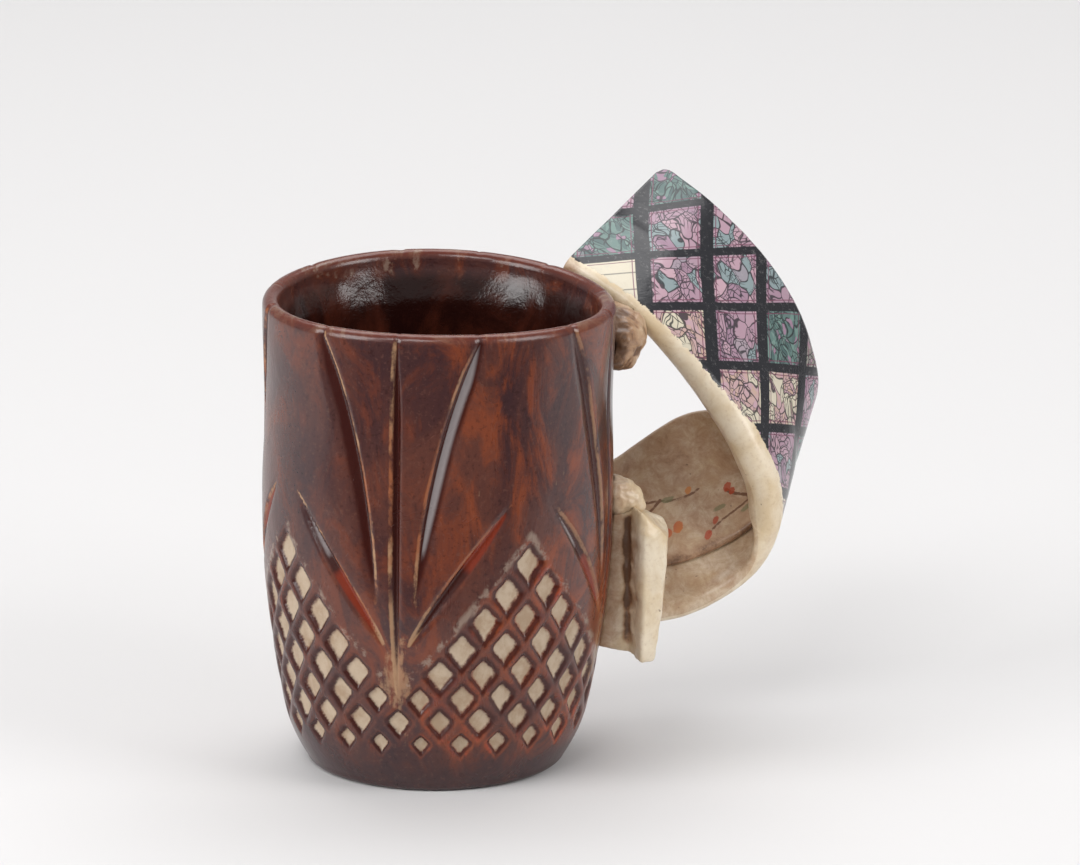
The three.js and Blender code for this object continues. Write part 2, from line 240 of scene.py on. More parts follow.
def clay_noise(points, size, seed, octaves=3):
    """Smooth noise from -1 to 1 at points in millimetres, with lumps of about that size."""
    shift = Vector((seed * 7.3, seed * 3.1, seed * 5.7))
    values = [
        noise.fractal(Vector(p) / size + shift, 0.9, 2.0, octaves, noise_basis="PERLIN_ORIGINAL")
        for p in np.asarray(points).reshape(-1, 3)
    ]
    return np.clip(np.array(values), -1, 1)


def face_out(mesh):
    """Turns the faces of a closed mesh so that they look outwards."""
    mesh.calc_loop_triangles()
    corners = np.zeros(len(mesh.vertices) * 3)
    mesh.vertices.foreach_get("co", corners)
    corners = corners.reshape(-1, 3)
    index = np.zeros(len(mesh.loop_triangles) * 3, int)
    mesh.loop_triangles.foreach_get("vertices", index)
    a, b, c = (corners[index.reshape(-1, 3)[:, n]] for n in range(3))
    if np.einsum("ij,ij->i", a, np.cross(b, c)).sum() < 0:
        mesh.flip_normals()


def grid_mesh(name, rings):
    """A closed skin over rings of points in millimetres, with a fan over each end."""
    count = len(rings[0])
    points = np.concatenate(rings)
    first, last = rings[0].mean(0), rings[-1].mean(0)
    points = np.vstack([points, first, last])
    i = np.arange(len(rings) - 1)[:, None] * count
    j = np.arange(count)[None, :]
    k = (j + 1) % count
    quads = np.stack([i + j, i + k, i + k + count, i + j + count], -1).reshape(-1, 4)
    ends = len(points) - 2
    start = (len(rings) - 1) * count
    low = [(ends, (n + 1) % count, n) for n in range(count)]
    high = [(ends + 1, start + n, start + (n + 1) % count) for n in range(count)]
    mesh = bpy.data.meshes.new(name)
    mesh.from_pydata((points * MM).tolist(), [], quads.tolist() + low + high)
    mesh.validate()
    mesh.shade_smooth()
    face_out(mesh)
    piece = bpy.data.objects.new(name, mesh)
    bpy.context.scene.collection.objects.link(piece)
    return piece


def keep_values(piece, **values):
    """Stores one number per point on the mesh, for the material to read."""
    for name, numbers in values.items():
        layer = piece.data.attributes.new(name, "FLOAT", "POINT")
        layer.data.foreach_set("value", np.asarray(numbers, np.float32))


def diamond_rows():
    """Height of the middle of each row of diamonds and its pitch, from the top one down."""
    height, pitch, found = arch_top, row_pitch, []
    while height > plain_foot:
        found.append((height, pitch))
        height -= pitch
        pitch = row_pitch * (cup_radius(height) / belly_radius) ** 1.5
    return found


def cup_heights():
    """Heights of the rings up the outside. Each row of diamonds has the same number, so that the
    ridges between them fall on the corners of the mesh."""
    rows = diamond_rows()
    low = rows[-1][0] - rows[-1][1]
    heights = list(np.linspace(wall_start, low, 7, endpoint=False))
    for middle, pitch in reversed(rows):
        heights += list(middle - pitch + pitch * np.arange(rings_to_row) / rings_to_row)
    top = rows[0][0]
    heights += list(np.linspace(top, top + row_pitch, rings_to_row, endpoint=False))
    heights += list(np.linspace(top + row_pitch, cup_height - rim_wall / 2, 42))
    return np.array(heights)


wall_angles = first_fan + fan_turn / 2 + np.arange(columns) * 360 / columns
wall_heights = cup_heights()
wall_shape = (len(wall_heights), columns)


def near_place(angle, reach, low, high):
    """The part of the wall's grid within some degrees of an angle and between two heights."""
    turned = (wall_angles - angle + 180) % 360 - 180
    across = np.nonzero(np.abs(turned) < reach)[0]
    up = np.nonzero((wall_heights > low) & (wall_heights < high))[0]
    return np.ix_(up, across), turned[across][None, :], wall_heights[up][:, None]


# The diamonds: 0 in the middle of the nearest one, pit_floor at the edge of its floor, pit_mouth on
# the ridge round it. They were trimmed by hand, the lower rows less evenly, and squeezed below the
# fans.
no_pit = 1.4
even_rows = 4
even_play = 0.015
loose_play = 0.035
squeezed = 0.85
squeezed_within = 12.0
up_from_middle = 0.1
upper_point = 0.9
lower_point = 1.1
blunt_sides = 1.14
blunt_top = 1.1
chance = np.random.default_rng(11)
spread = np.full(wall_shape, no_pit)
rows = diamond_rows()
full_row = int(fan_turn / diamond_step)
for row, (middle, pitch) in enumerate(rows):
    count = min(row + 1, full_row)
    shift = 0.0 if row < full_row else 0.5 * (row - full_row + 1)
    play = loose_play if row > even_rows else even_play
    for arch in range(fans):
        for i in range(count):
            turned = (i - 0.5 * (count - 1) + shift) * diamond_step
            size = last_row_size if row == len(rows) - 1 else 1.0
            size *= 1 - chance.uniform(0, 3 * play)
            if row > even_rows and abs(abs(turned) - fan_turn / 2) < squeezed_within:
                size *= squeezed
            place = first_fan + (arch + 0.5) * fan_turn + turned
            place += chance.uniform(-play, play) * diamond_step
            centre = middle + chance.uniform(-play, play) * pitch
            low, high = middle - no_pit * pitch, middle + no_pit * pitch
            spot, across, height = near_place(place, diamond_step, low, high)
            aside = np.abs(across) / (0.5 * diamond_step * size)
            rise = (height - centre) / (pitch * size) - up_from_middle
            lift = np.where(rise > 0, rise / upper_point, -rise / lower_point)
            blunt = np.maximum(blunt_sides * aside, np.where(rise > 0, blunt_top * lift, 0))
            spread[spot] = np.minimum(spread[spot], np.maximum(aside + lift, blunt))
inward = np.clip((spread - pit_floor) / (pit_mouth - pit_floor), 0, 1)
pit_cut = pit_depth * (0.3 * (1 - inward) + 0.7 * (1 - np.sqrt(1 - (1 - inward) ** 2)))

# The leaves: depth of the V in millimetres, negative beside it, and the distance from its bottom
# line, negative on its steep side. In the third field 1 is where a grey sheen is painted on, as
# painted reflection, and -1 where the glaze is blood red. Each leaf is a bend through three
# points, from its tip to the fan's root, in degrees round the cup and shares of its height.
no_leaf = -3.0
far_off = 3.0
leaf_steps = 60
leaf = np.full(wall_shape, no_leaf)
beside = np.full(wall_shape, far_off)
milky = np.zeros(wall_shape)
middle_bends = [(0, 1.03), (0, 0.6), (0, 0.23)]
long_bends = [(30, 1.03), (10.5, 0.77), (6.5, 0.43)]
short_bends = [(38.5, 0.64), (20, 0.5), (4, 0.34)]
leaf_kinds = [(middle_bends, 1, middle_slope, True, 0.0, 0.0)]
for side, long_sheen, short_sheen_and_red, short_red in ((-1, 0.0, 0.6, 0.7), (1, 1.0, -0.8, 0.0)):
    for bends, slope, runs_out, milk, red in (
        (long_bends, long_slope, True, long_sheen, 0.0),
        (short_bends, short_slope, False, short_sheen_and_red, short_red),
    ):
        bends = [(side * angle, height) for angle, height in bends]
        leaf_kinds.append((bends, side, slope, runs_out, milk, red))


def along_leaf(path, x, z):
    """Distance of places on the wall from the bottom line of a leaf, which side of it they are on,
    and how far down the leaf from its tip."""
    step = np.diff(path, axis=0)
    gap = np.stack([x[..., None] - path[:-1, 0], z[..., None] - path[:-1, 1]], -1)
    part = np.clip((gap * step).sum(-1) / (step ** 2).sum(-1), 0, 1)
    off = gap - part[..., None] * step
    length = np.hypot(off[..., 0], off[..., 1])
    best = length.argmin(-1)[..., None]
    turned = step[:, 0] * gap[..., 1] - step[:, 1] * gap[..., 0]
    length, turned, part = (
        np.take_along_axis(values, best, -1)[..., 0] for values in (length, turned, part)
    )
    return length, np.sign(turned), (best[..., 0] + part) / (leaf_steps - 1)


for fan in range(fans):
    for bends, side, slope, runs_out, milk, red in leaf_kinds:
        t = np.linspace(0, 1, leaf_steps)[:, None]
        path = (1 - t) ** 2 * bends[0] + 2 * t * (1 - t) * bends[1] + t * t * bends[2]
        reach = np.abs(path[:, 0]).max() + 9
        path[:, 1] *= cup_height
        low, high = path[:, 1].min() - 3, path[:, 1].max() + 3
        spot, across, height = near_place(first_fan + fan * fan_turn, reach, low, high)
        path[:, 0] *= cup_radius(path[:, 1]) * np.pi / 180
        x = across * cup_radius(height) * np.pi / 180
        length, turned, run = along_leaf(path, x, height + 0 * across)
        gentle = length * turned * side
        other_slope = middle_slope if slope == middle_slope else steep_slope
        if runs_out:
            swell = np.sqrt(np.maximum(0, np.sin(0.5 * np.pi * np.minimum(1, 2.2 * (1 - run)))))
            swell = swell * (leaf_lip + (1 - leaf_lip) * smooth_step(0, 0.25, run))
            in_sheen_and_red = milk * smooth_step(0.03, 0.15, run) * smooth_step(0.95, 0.7, run)
        else:
            swell = np.sqrt(np.maximum(0, np.sin(np.pi * run)))
            in_sheen_and_red = milk * smooth_step(0.03, 0.12, run) * smooth_step(0.55, 0.35, run)
            in_sheen_and_red -= red * smooth_step(0.4, 0.6, run) * smooth_step(1.0, 0.85, run)
        deep = leaf_depth * swell - 0.15
        slopes = np.where(gentle > 0, slope, other_slope)
        cut = deep + 0.1 - np.sqrt((length / slopes) ** 2 + 0.01)
        better = cut > leaf[spot]
        leaf[spot] = np.where(better, cut, leaf[spot])
        beside[spot] = np.where(better, gentle, beside[spot])
        milky[spot] = np.where(better, in_sheen_and_red, milky[spot])
leaf_cut = 0.5 * (leaf + np.sqrt(leaf ** 2 + 0.012))
wall_cut = np.maximum(pit_cut, leaf_cut)

# How far a place is above the upper border of the nearest arch of diamonds, in millimetres, and
# how near it is to the lower ends of the leaves and to the root of the fan
arch_reach = 0.95 * row_pitch
arch_fall = 0.94 * row_pitch / (diamond_step / 2)
border_slope = 0.76
from_arch = np.abs((wall_angles - first_fan - fan_turn / 2 + 180) % fan_turn)
from_arch = np.minimum(from_arch, fan_turn - from_arch)
above_foot = wall_heights[:, None]
border = border_slope * (above_foot - (arch_top + arch_reach - arch_fall * from_arch[None, :]))
from_fan = np.abs((wall_angles - first_fan + fan_turn / 2) % fan_turn - fan_turn / 2)[None, :]


def near_spot(turn, height, reach):
    """1 at a height in the middle of a fan, and less the farther a place is from there."""
    return np.exp(-(from_fan / turn) ** 2 - ((above_foot - height) / reach) ** 2)


ember = near_spot(turn=13.0, height=40, reach=13.0)
star = near_spot(turn=6.5, height=30, reach=12.0)


def on_cup(radius, height):
    """Points of a ring on the cup, with the lean of the cup and the waves of its rim."""
    a = np.radians(wall_angles)
    tilt = rim_tilt * np.cos(a - math.radians(rim_tilt_angle))
    warp = rim_warp * np.cos(2 * (a - math.radians(rim_warp_angle)))
    lifted = height + (tilt + warp) * smooth_step(belly_height, cup_height, height)
    lean = rim_lean * lifted / cup_height
    return np.stack([radius * np.sin(a) + lean, -radius * np.cos(a), lifted], -1)


# The numbers that the glaze reads from the mesh, with their values off the wall
rings = []
marks = {
    "cut": 0.0, "spread": no_pit, "leaf": no_leaf, "beside": far_off, "milky": 0.0, "border": 20.0,
    "star": 0.0, "ember": 0.0, "inside": 0.0, "lip": 0.0,
}
cup_marks = {name: [] for name in marks}
plain_wall = np.ones(columns)


def add_ring(radius, height, **given):
    """Adds a ring to the cup, with its marks where they aren't those of plain glaze."""
    rings.append(on_cup(radius * plain_wall, height * plain_wall))
    for name, rest in marks.items():
        cup_marks[name].append(given.get(name, rest) * plain_wall)


# Foot and heel, wall, lip, and inside down to the floor
innermost = 6
heel_turn = math.radians(-30)
heel_middle = cup_radius(heel_round * (1 + math.sin(heel_turn))) - heel_round * math.cos(heel_turn)
for radius in np.linspace(innermost, heel_middle, 4, endpoint=False):
    add_ring(radius, 0.0)
for turned in np.linspace(-math.pi / 2, heel_turn, 5):
    add_ring(heel_middle + heel_round * math.cos(turned), heel_round * (1 + math.sin(turned)))
wall_places = np.concatenate([
    on_cup(cup_radius(height) * plain_wall, height * plain_wall) for height in wall_heights
])
unevenness = 0.13
sunk = unevenness + unevenness * clay_noise(wall_places, 24.0, 2, 2).reshape(wall_shape)
for n, height in enumerate(wall_heights):
    add_ring(
        cup_radius(height) - wall_cut[n] - sunk[n], height, cut=wall_cut[n], spread=spread[n],
        leaf=leaf[n], beside=beside[n], milky=milky[n], border=border[n],
        star=star[n], ember=ember[n],
    )
lip_radius = rim_wall / 2
lip_height = cup_height - lip_radius
lip_middle = cup_radius(lip_height) - lip_radius
for turned in np.radians(np.linspace(14, 166, 11)):
    fade = max(0.0, math.cos(turned))
    notch = wall_cut[-1] * (0.35 + 0.65 * fade) * smooth_step(math.pi, 1.2, turned)
    add_ring(
        lip_middle + lip_radius * math.cos(turned) - notch * fade - sunk[-1] * fade,
        lip_height + lip_radius * math.sin(turned) - notch * (1 - fade),
        leaf=leaf[-1] * fade + no_leaf * (1 - fade), beside=beside[-1], cut=wall_cut[-1] * fade,
        inside=0.25 * (1 - math.cos(turned)), lip=math.sin(turned),
    )
corner_top = floor_thickness + cavity_corner
mouth_low = lip_height - mouth_depth
inner_heights = np.concatenate([
    np.linspace(lip_height, mouth_low, 10, endpoint=False),
    np.linspace(mouth_low, corner_top, 10),
])
inside_waves = 0.35
for height in inner_heights:
    thinned = (wall - rim_wall) * smooth_step(mouth_low, lip_height, height)
    places = on_cup((cup_radius(height) - wall + thinned) * plain_wall, height * plain_wall)
    waves = inside_waves * clay_noise(places, 9.0, 4, 2)
    waves = waves * smooth_step(lip_height, lip_height - 4, height)
    depth = 0.5 + 0.5 * float(smooth_step(lip_height, lip_height - 7, height))
    add_ring(cup_radius(height) - wall + thinned + waves, height, inside=depth)
corner_middle = cup_radius(corner_top) - wall - cavity_corner
for turned in np.radians(np.linspace(-15, -90, 6)):
    corner_radius = corner_middle + cavity_corner * math.cos(turned)
    add_ring(corner_radius, corner_top + cavity_corner * math.sin(turned), inside=1.0)
for radius in np.linspace(corner_middle, 4, 4)[1:]:
    add_ring(radius, floor_thickness, inside=1.0)

cup = grid_mesh("cup_body", rings)
keep_values(cup, **{
    name: np.append(np.concatenate(cup_marks[name]), [rest, rest]) for name, rest in marks.items()
})


def coated(colour, *coats):
    """A colour with others laid over it in turn, each by its own share."""
    for share, coat in coats:
        colour = mix_colour(share, colour, coat)
    return colour


def mesh_values(tree, *names):
    """The numbers that were stored on the mesh under these names."""
    return [new_node(tree, "ShaderNodeAttribute", attribute_name=n).outputs["Fac"] for n in names]


def ramp(value, low, high, to_low=0.0, to_high=1.0):
    """A number moved smoothly from one range to another."""
    made = new_node(value.id_data, "ShaderNodeMapRange", interpolation_type="SMOOTHSTEP", inputs={
        "From Min": low, "From Max": high, "To Min": to_low, "To Max": to_high,
    })
    link(value, made.inputs["Value"])
    return made.outputs["Result"]


def lumps(place, scale, detail=3.0, roughness=0.55, distortion=0.0):
    """Noise with so many lumps to the metre, from 0 to 1."""
    made = new_node(place.id_data, "ShaderNodeTexNoise", inputs={
        "Scale": scale, "Detail": detail, "Roughness": roughness, "Distortion": distortion,
    })
    link(place, made.inputs["Vector"])
    return made.outputs["Fac"]


def drawn_down(place, share):
    """The same place with its height taken at that share, which draws noise out downwards."""
    made = new_node(place.id_data, "ShaderNodeMapping", inputs={"Scale": (1, 1, share)})
    link(place, made.inputs["Vector"])
    return made.outputs["Vector"]


def ruffled(value, grain, reach):
    """A number with noise of that reach added, which makes the border of a patch ragged."""
    return maths("ADD", value, times(maths("SUBTRACT", grain, 0.5), reach))


def new_glaze(name):
    """A material with its tree, its shader and the place on the object in metres."""
    glaze, tree, shader = new_finish(name)
    return glaze, tree, shader, new_node(tree, "ShaderNodeTexCoord").outputs["Object"]


def fired(shader, colour, roughness, height, strength, distance):
    """Gives a shader its colour, its roughness and a skin that isn't quite smooth."""
    given = {"Strength": strength, "Distance": distance}
    skin = new_node(shader.id_data, "ShaderNodeBump", inputs=given)
    link(height, skin.inputs["Height"])
    link(skin.outputs["Normal"], shader.inputs["Normal"])
    link(colour, shader.inputs["Base Color"])
    link(roughness, shader.inputs["Roughness"])


plum = (0.042, 0.018, 0.020)
umber = (0.098, 0.031, 0.021)
rust = (0.24, 0.050, 0.014)
red_break = (0.34, 0.045, 0.014)
pepper = (0.022, 0.008, 0.008)
# Dark glaze pooled in the cuts, also laid as painted shade round the floors of the diamonds
pooled_and_shade = (0.036, 0.0035, 0.0015)
tan_break = (0.37, 0.215, 0.115)
bare_cream = (0.48, 0.375, 0.27)
worn_cream = (0.36, 0.25, 0.16)
painted_sheen_grey = (0.23, 0.20, 0.20)
grey_scum = (0.27, 0.20, 0.155)
# Painted shade for the inside of the cup
inside_shade_dark = (0.016, 0.004, 0.003)
inside_shade_red = (0.075, 0.016, 0.008)
pale_fleck = (0.22, 0.09, 0.055)
blood_red = (0.21, 0.024, 0.006)
rust_arris = (0.30, 0.10, 0.04)
red_lip = (0.14, 0.024, 0.009)
tan_lip = (0.20, 0.11, 0.07)

brown_glaze, tree, shader, place = new_glaze("brown_glaze")
cut, spread, leaf, beside, milky, border, star, ember, inside, lip = mesh_values(tree, *marks)
drip = drawn_down(place, 0.5)
cloud = lumps(drip, 38, 5, 0.62, 0.6)
patch = lumps(drip, 95, 6, 0.68, 1.0)
grain = lumps(place, 900, 3, 0.65)
speck = lumps(place, 300, 4, 0.7)
to_right = ramp(coordinate(place, "X"), -0.030, 0.030)
rusty = ramp(ruffled(patch, grain, 0.12), 0.44, 0.68)
low_down = ruffled(coordinate(place, "Z"), cloud, 0.01)
lattice = ramp(spread, 1.25, 0.95)
lattice_patch = ramp(ruffled(patch, speck, 0.5), 0.3, 0.6, 0.35, 1.0)
lattice_rust = times(lattice, ramp(to_right, 0, 1, 0.2, 0.85), lattice_patch)
vivid = ramp(ruffled(patch, speck, 0.7), 0.52, 0.7, 0.0, 0.9)
cool = ramp(ruffled(cloud, speck, 0.4), 0.5, 0.64, 0.0, 0.75)
colour = coated(
    mix_colour(ramp(cloud, 0.34, 0.66), plum, umber),
    (times(rusty, ramp(to_right, 0, 1, 0.35, 0.75)), rust),
    (ramp(low_down, 0.013, 0.004, 0.0, 0.85), plum),
    (lattice_rust, rust),
    (times(lattice_rust, vivid), red_break),
    (times(lattice, cool), plum),
    (ramp(grain, 0.54, 0.7, 0.0, 0.5), pepper),
    (ramp(grain, 0.44, 0.3, 0.0, 0.2), pale_fleck),
)

# Glaze ran off the arrises and lies thick and dark in the bottom of the cuts, and a grey sheen is
# painted along some of them
glowing = ramp(ruffled(patch, speck, 0.2), 0.36, 0.56, 0.0, 0.75)
red_bed = ramp(ruffled(milky, speck, 0.4), -0.2, -0.6, 0.0, 0.85)
ragged = ruffled(leaf, speck, 0.8)
on_arris = times(ramp(ragged, -0.45, -0.1), ramp(ragged, 0.7, 0.3))
arris = times(
    on_arris, ramp(beside, 0.1, -0.2),
    ramp(ruffled(patch, speck, 0.3), 0.4, 0.56),
    ramp(to_right, 0.2, 1.0, 0.95, 0.55),
)
near_root = ramp(ruffled(ember, speck, 0.5), 0.3, 0.7, 0.0, 0.85)
near_root = times(on_arris, near_root, ramp(beside, 0.7, 0.3))
arris_colour = mix_colour(ramp(cloud, 0.42, 0.56), tan_break, rust_arris)
# Painted sheen: a grey band along the bottom of some leaves, standing in for a reflection
painted_sheen = times(
    ramp(beside, 0.0, 0.3), ramp(leaf, 0.5, 0.85),
    ramp(ruffled(milky, speck, 0.5), 0.25, 0.65),
)
streaks = lumps(drawn_down(place, 0.25), 420, 4, 0.7)
root = ruffled(ruffled(star, speck, 1.8), streaks, 2.6)
edge = ruffled(border, patch, 6.0)
scum = times(
    ramp(edge, -1.2, 0.2), ramp(edge, 2.2, 0.8),
    ramp(ruffled(cloud, speck, 0.9), 0.5, 0.62), 0.75,
)
colour = coated(
    colour,
    (times(ember, glowing), rust),
    (ramp(ruffled(leaf, patch, 0.7), 0.15, 0.6, 0.0, 0.92), pooled_and_shade),
    (times(red_bed, ramp(leaf, 0.1, 0.5)), blood_red),
    (maths("MAXIMUM", arris, near_root), arris_colour),
    (painted_sheen, painted_sheen_grey),
    (times(ramp(root, 0.5, 1.1), 0.62), tan_break),
    (scum, grey_scum),
)

# The floors of the diamonds were wiped, and the glaze thickens round them. The dark ring on the
# walls of the pits is painted shade as well as pooled glaze.
wiped = ruffled(ruffled(ruffled(spread, speck, 0.3), grain, 0.14), patch, 0.3)
floors = ramp(wiped, 0.68, 0.52)
wear = ramp(ruffled(patch, speck, 0.6), 0.35, 0.68)
colour = coated(
    colour,
    (times(ramp(wiped, 0.6, 0.7), ramp(wiped, 0.98, 0.8), 0.8), pooled_and_shade),
    (floors, mix_colour(wear, bare_cream, worn_cream)),
)

# Rim and inside. The inside of the cup is painted much darker than its outside, as painted shade
# that deepens down from the mouth.
lip_colour = mix_colour(ramp(patch, 0.52, 0.64), red_lip, tan_lip)
inner_painted_shade = mix_colour(ramp(cloud, 0.45, 0.7), inside_shade_dark, inside_shade_red)
bevel = times(
    ramp(inside, 0.2, 0.45), ramp(inside, 0.85, 0.6),
    ramp(ruffled(patch, speck, 0.4), 0.56, 0.68, 0.0, 0.6),
)
colour = coated(
    colour,
    (times(lip, ramp(cut, 0.5, 0.1), 0.75), lip_colour),
    (ramp(inside, 0.55, 0.95), inner_painted_shade),
    (bevel, grey_scum),
)
rough = maths("ADD", ramp(cloud, 0.3, 0.7, 0.2, 0.3), times(floors, 0.25))
rough = maths("SUBTRACT", rough, times(inside, 0.1))
peel = maths("ADD", times(speck, 0.5), times(patch, 0.8))
peel = maths("ADD", peel, times(inside, times(grain, 0.55)))
fired(shader, colour, rough, peel, 0.45, 0.0004)
cup.data.materials.append(brown_glaze)
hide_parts("cup")
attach(cup, "root")

# Outer band: a strap of clay rolled flat, cut, bent into an open loop while soft and pressed on
# to the cup at both ends. Its outside carries a printed transfer, and its front edge is bare cream.
band_reach = 52.2
band_spread = 65.0
band_thickness = 4.2
band_roll = 0.5
band_roll_gain = 1.6
band_roll_width = 7.5
near_points = [
    (-0.213, 0.462, 1.005), (0.094, 0.343, 0.926), (0.364, 0.257, 0.816), (0.6, 0.198, 0.687),
    (0.693, 0.189, 0.611), (0.764, 0.206, 0.525), (0.776, 0.235, 0.431), (0.692, 0.258, 0.348),
    (0.374, 0.234, 0.258), (0, 0.132, 0.25), (-0.172, 0.077, 0.26),
]
far_points = [
    (0.272, 1, 1.153), (0.494, 0.915, 1.083), (0.709, 0.862, 0.99), (0.881, 0.831, 0.88),
    (0.964, 0.823, 0.785), (1, 0.815, 0.695), (0.955, 0.81, 0.64), (0.79, 0.8, 0.605),
    (0.383, 0.762, 0.618), (-0.019, 0.669, 0.511), (-0.421, 0.508, 0.435),
]


def bent_line(points, shares):
    """Smooth curve through points, given as shares of the band's reach off the belly, of its
    spread towards the back, and of the cup's height."""
    knots = np.array([
        (belly_radius + x * band_reach, y * band_spread, z * cup_height) for x, y, z in points
    ])
    padded = np.vstack([2 * knots[0] - knots[1], knots, 2 * knots[-1] - knots[-2]])
    spot = np.clip(shares, 0, 1) * (len(knots) - 1)
    index = np.minimum(spot.astype(int), len(knots) - 2)
    t = (spot - index)[:, None]
    p0, p1, p2, p3 = (padded[index + n] for n in range(4))
    d0, d1, d2 = (
        np.sqrt(np.linalg.norm(b - a, axis=1))[:, None] for a, b in ((p0, p1), (p1, p2), (p2, p3))
    )
    m1 = ((p1 - p0) / d0 - (p2 - p0) / (d0 + d1) + (p2 - p1) / d1) * d1
    m2 = ((p2 - p1) / d1 - (p3 - p1) / (d1 + d2) + (p3 - p2) / d2) * d1
    return p1 + m1 * t + (3 * (p2 - p1) - 2 * m1 - m2) * t ** 2 + (2 * (p1 - p2) + m1 + m2) * t ** 3


def unit(vectors):
    """The same directions with a length of 1."""
    return vectors / np.linalg.norm(vectors, axis=-1, keepdims=True)


def band_places(shares):
    """Near edge, way across, way outward and width of the band at shares of its length."""
    near, far = bent_line(near_points, shares), bent_line(far_points, shares)
    step = 0.004
    before = bent_line(near_points, shares - step) + bent_line(far_points, shares - step)
    after = bent_line(near_points, shares + step) + bent_line(far_points, shares + step)
    width = np.linalg.norm(far - near, axis=1)
    across = (far - near) / width[:, None]
    return near, across, unit(np.cross(unit(after - before), across)), width


near_edge_points = 15
outer_face_points = 72
far_edge_points = 11
inner_face_points = 48


def strap_ring(width, low, thickness, roll, top):
    """Section of a strap with rounded edges, as places across and outward, and which of them are
    on its outer face (1) or its inner face (0)."""
    half = thickness / 2
    rolled = half + roll
    middle = top - half
    flat = width - low - half - rolled
    places = []
    for angle in np.radians(np.linspace(-90, 90, near_edge_points)):
        out = middle - roll + rolled * math.sin(angle)
        places.append((low + rolled * (1 - math.cos(angle)), out, float(angle > -0.4)))
    for share in np.linspace(0, 1, outer_face_points + 2)[1:-1]:
        places.append((low + rolled + flat * share, top, 1))
    for angle in np.radians(np.linspace(90, -90, far_edge_points)):
        out = middle + half * math.sin(angle)
        places.append((width - half + half * math.cos(angle), out, float(angle > -0.2)))
    for share in np.linspace(1, 0, inner_face_points + 2)[1:-1]:
        place = low + rolled + flat * share
        drop = 2 * roll * (1 - smooth_step(rolled, band_roll_width, place - low))
        places.append((place, top - thickness - drop, 0))
    return np.array(places)


def strap_surface(shares, low, high_inset, thickness, roll, top):
    """Rings of a strap along the band, with the place along and across it of every point."""
    near, across, outward, width = band_places(shares)
    middle = near + across * width[:, None] / 2
    along = np.append(0, np.cumsum(np.linalg.norm(np.diff(middle, axis=0), axis=1)))
    rings, lengths, widths = [], [], []
    for n in range(len(shares)):
        section = strap_ring(width[n] - high_inset[n], low[n], thickness, roll[n], top)
        rings.append(near[n] + across[n] * section[:, :1] + outward[n] * section[:, 1:2])
        lengths.append(np.full(len(section), along[n]))
        widths.append(section[:, 0])
    return np.array(rings), np.array(lengths), np.array(widths), section[:, 2]


def wall_gap(points):
    """How far points are outside the cup's wall, carried straight up past its rim."""
    height = np.clip(points[..., 2], 0, cup_height)
    x = points[..., 0] - rim_lean * points[..., 2] / cup_height
    return np.hypot(x, points[..., 1]) - cup_radius(height)


pressed_in = 0.1
mid_loop = 0.45


def trimmed(rings):
    """The same surface with each of its long lines cut off where it has run into the cup."""
    count = len(rings)
    outside = wall_gap(rings) > -pressed_in
    made = np.empty_like(rings)
    spots = np.empty(rings.shape[:2])
    for line in range(rings.shape[1]):
        open_part = np.nonzero(outside[:, line])[0]
        middle = open_part[np.argmin(np.abs(open_part - count * mid_loop))]
        first = middle
        while first > 0 and outside[first - 1, line]:
            first -= 1
        last = middle
        while last < count - 1 and outside[last + 1, line]:
            last += 1
        spot = np.linspace(first, last, count)
        low = np.minimum(spot.astype(int), count - 2)
        part = (spot - low)[:, None]
        made[:, line] = rings[low, line] * (1 - part) + rings[low + 1, line] * part
        spots[:, line] = spot
    return made, spots


def carried(values, spots):
    """Values of the untrimmed surface at the places where the trimmed one has its points."""
    low = np.minimum(spots.astype(int), len(values) - 2)
    part = spots - low
    lines = np.arange(values.shape[1])[None, :]
    return values[low, lines] * (1 - part) + values[low + 1, lines] * part


def uneven(rings, size, seed, octaves):
    """Noise for every point of a surface made of rings."""
    return clay_noise(rings.reshape(-1, 3), size, seed, octaves).reshape(rings.shape[:2])


def rubbed(rings, depth):
    """The same surface drawn in towards its middle by that depth."""
    return rings - unit(rings - rings.mean(1, keepdims=True)) * depth[..., None]


def with_ends(values, first=0.0, last=0.0):
    """Values for every point, and for the middle of both ends."""
    return np.append(values.ravel(), [first, last])


# The strap with its rolled near lip, cut round at the far corner of its upper end
band_reckoned = 150
corner_round = 3.2
shares = np.linspace(0, 1, 320)
lip_grows = smooth_step(0.08, 0.3, shares)
lip_fades = 1 - smooth_step(0.55, 0.75, shares)
rolls = band_roll + band_roll_gain * lip_grows * lip_fades
rounding = np.maximum(0, corner_round - shares * band_reckoned)
corner = corner_round - np.sqrt(corner_round ** 2 - rounding ** 2)
band_rings, band_along, band_across, band_outer = strap_surface(
    shares, corner * 0, corner, band_thickness, rolls, 0.0
)
trim_rings, trim_spots = trimmed(band_rings)
band_width = carried(band_across, trim_spots)
full_width = np.interp(trim_spots, np.arange(len(shares)), band_places(shares)[3])
share_on = trim_spots / (len(shares) - 1)

